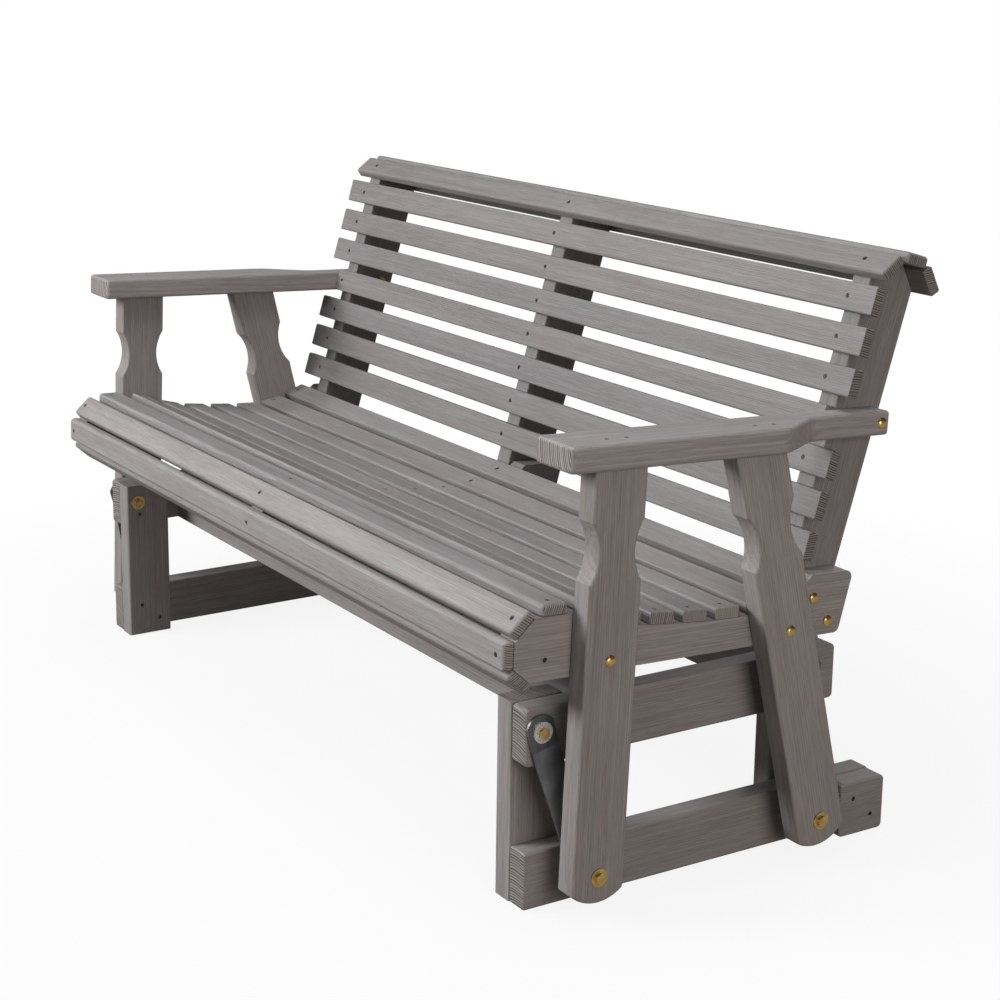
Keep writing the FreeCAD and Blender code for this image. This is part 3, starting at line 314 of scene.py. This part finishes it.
# Metal finishes by the way a node's name ends; the first that fits is used
gold = yellow_zinc("yellow_zinc")
METAL = (("link", plated_strap("zinc_strap")),
         ("hanger_washers", speckled("bright_zinc", 160.0, (0.82, 0.82, 0.81, 1),
                                     (0.93, 0.93, 0.91, 1), 0.7, 0.24, 0.36, 0.08)),
         ("nuts", yellow_zinc("bronze_shaded_yellow_zinc", NUT_BRONZE_AND_SHADE)),
         (("bolts", "washers"), gold),
         ("screws", speckled("coated_screw", 420.0, (0.030, 0.026, 0.024, 1),
                             (0.085, 0.074, 0.066, 1), 0.6, 0.42, 0.6, 0.1)))
FIRST_SEED = 40


def finish_for(node, number):
    for ending, plating in METAL:
        if node.endswith(ending):
            return plating
    low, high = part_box(node)
    centre = tuple((a + b) / 2 for a, b in zip(low, high))
    return stained_pine(node + "_pine", grain_of(node), broad_side(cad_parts[node]), centre,
                        FIRST_SEED + number, bold=FAINT_ENDS if node in QUIET_ENDS else BOLD_ENDS,
                        stain_and_light=stain_and_light_of(node), slim="slat" in node or "board" in node)


for number, node in enumerate(sorted(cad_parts)):
    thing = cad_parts[node]
    material = finish_for(node, number)
    if not thing.material_slots:
        thing.data.materials.append(material)
    for material_slot in thing.material_slots:
        material_slot.material = material
    if node == "hanger_washers":
        thing.data.materials.append(gold)
        for face in thing.data.polygons:
            if abs(face.center.x) < LEG_WASHERS_WITHIN:
                face.material_index = len(thing.material_slots) - 1


# Floor, light and camera

# Share of the floor's glow that polished faces mirror, and the world's strength for soft
# light and for mirrored light
MIRRORED_GLOW = 0.2
SOFT_WORLD, MIRRORED_WORLD = 0.115, 0.04


def pale_ground():
    """White to the camera, fainter near the bench so that its shadow shows. Other rays meet a
    dim warm floor, so that little light comes back up under the bench."""
    bpy.ops.object.select_all(action="DESELECT")
    bpy.ops.mesh.primitive_plane_add(size=40, location=(0, 0, -0.0006))
    floor = bpy.context.object
    floor.name = "floor"
    r = Recipe("pale_floor")
    r.feed(r.shader.inputs["Roughness"], 0.9)
    path = r.node("ShaderNodeLightPath")
    r.feed(r.shader.inputs["Base Color"],
           r.mix(path.outputs["Is Camera Ray"], (0.13, 0.108, 0.098, 1), (0.62, 0.62, 0.62, 1)))
    mirrored = r.math("MULTIPLY", path.outputs["Is Glossy Ray"], MIRRORED_GLOW)
    seen = r.math("MAXIMUM", path.outputs["Is Camera Ray"], mirrored)
    glow = r.node("ShaderNodeEmission")
    r.feed(glow.inputs["Color"], (1, 1, 1, 1))
    r.feed(glow.inputs["Strength"], 1.0)
    both = r.node("ShaderNodeMixShader")
    place, _ = r.coordinates()
    away = r.ramp(r.vector_math("LENGTH", place), 0.7, 2.0, 0.88, 1.0)
    r.feed(both.inputs[0], r.math("MULTIPLY", seen, away))
    r.feed(both.inputs[1], r.shader.outputs[0])
    r.feed(both.inputs[2], glow.outputs[0])
    r.feed(r.output.inputs["Surface"], both.outputs[0])
    floor.data.materials.append(r.material)


def surround():
    """A white background to the camera and a dim world, warm below and cool above, to the rest."""
    world = bpy.data.worlds.new("soft_studio")
    bpy.context.scene.world = world
    world.use_nodes = True
    tree = world.node_tree
    tree.nodes.clear()

    def add(kind):
        return tree.nodes.new("ShaderNode" + kind)

    def remap(value, numbers):
        made = add("MapRange")
        for socket, number in zip(made.inputs[1:5], numbers):
            socket.default_value = number
        tree.links.new(value, made.inputs[0])
        return made.outputs[0]

    path = add("LightPath")
    either = add("Math")
    either.operation = "MAXIMUM"
    tree.links.new(path.outputs["Is Camera Ray"], either.inputs[0])
    tree.links.new(path.outputs["Is Transmission Ray"], either.inputs[1])
    dim_light = add("Background")
    strength = remap(path.outputs["Is Glossy Ray"], (0.0, 1.0, SOFT_WORLD, MIRRORED_WORLD))
    tree.links.new(strength, dim_light.inputs[1])
    look = add("TexCoord")
    split = add("SeparateXYZ")
    tree.links.new(look.outputs["Generated"], split.inputs[0])
    tinge = add("Mix")
    tinge.data_type = "RGBA"
    tinge.inputs[6].default_value = (1.0, 0.85, 0.76, 1)
    tinge.inputs[7].default_value = (0.88, 0.95, 1.0, 1)
    tree.links.new(remap(split.outputs["Z"], (0.0, 0.6, 0.0, 1.0)), tinge.inputs[0])
    tree.links.new(tinge.outputs[2], dim_light.inputs[0])
    white = add("Background")
    white.inputs[0].default_value = (1, 1, 1, 1)
    white.inputs[1].default_value = 1.0
    blend = add("MixShader")
    out = add("OutputWorld")
    tree.links.new(either.outputs[0], blend.inputs[0])
    tree.links.new(dim_light.outputs[0], blend.inputs[1])
    tree.links.new(white.outputs[0], blend.inputs[2])
    tree.links.new(blend.outputs[0], out.inputs[0])


def softbox(name, spot, aim, power, wide, high, colour):
    lamp = bpy.data.lights.new(name, "AREA")
    lamp.shape = "RECTANGLE"
    lamp.size = wide
    lamp.size_y = high
    lamp.energy = power
    lamp.color = colour
    thing = bpy.data.objects.new(name, lamp)
    bpy.context.scene.collection.objects.link(thing)
    thing.location = spot
    thing.rotation_euler = (Vector(aim) - Vector(spot)).to_track_quat("-Z", "Y").to_euler()


def camera():
    """The photograph's own viewpoint: angles in radians, place in metres."""
    yaw, pitch, roll = 1.048448, 0.238085, -0.001115
    place = (3.059063, -1.903899, 1.388634)
    ahead = Vector((-math.sin(yaw) * math.cos(pitch), math.cos(yaw) * math.cos(pitch),
                    -math.sin(pitch)))
    right = Vector((math.cos(yaw), math.sin(yaw), 0.0))
    up = right.cross(ahead)
    right_rolled = math.cos(roll) * right + math.sin(roll) * up
    up_rolled = -math.sin(roll) * right + math.cos(roll) * up
    lens = bpy.data.cameras.new("viewpoint")
    lens.sensor_fit = "HORIZONTAL"
    lens.sensor_width = 36
    lens.lens = 75.6172
    lens.shift_x = 0.128146
    lens.shift_y = -0.063679
    thing = bpy.data.objects.new("viewpoint", lens)
    bpy.context.scene.collection.objects.link(thing)
    turn = Matrix((right_rolled, up_rolled, -ahead)).transposed()
    thing.matrix_world = Matrix.Translation(place) @ turn.to_4x4()
    bpy.context.scene.camera = thing


pale_ground()
surround()
# name, place, aim, watts, width, height, colour
for box in (("key", (-1.7, -4.3, 2.45), (0.0, 0.0, 0.5), 264, 2.0, 1.7, (0.98, 0.99, 1.0)),
            ("top", (0.6, -0.6, 3.6), (0.0, 0.0, 0.3), 70, 2.8, 2.0, (0.95, 0.98, 1.0)),
            ("side_fill", (4.2, -0.6, 1.5), (0.3, 0.0, 0.4), 61, 2.2, 1.8, (1.0, 0.93, 0.88)),
            ("rear_fill", (-1.6, 4.3, 1.8), (0.0, 0.0, 0.5), 70, 2.4, 1.8, (0.97, 0.98, 1.0))):
    softbox(*box)
camera()
bpy.context.scene.view_settings.view_transform = "Standard"
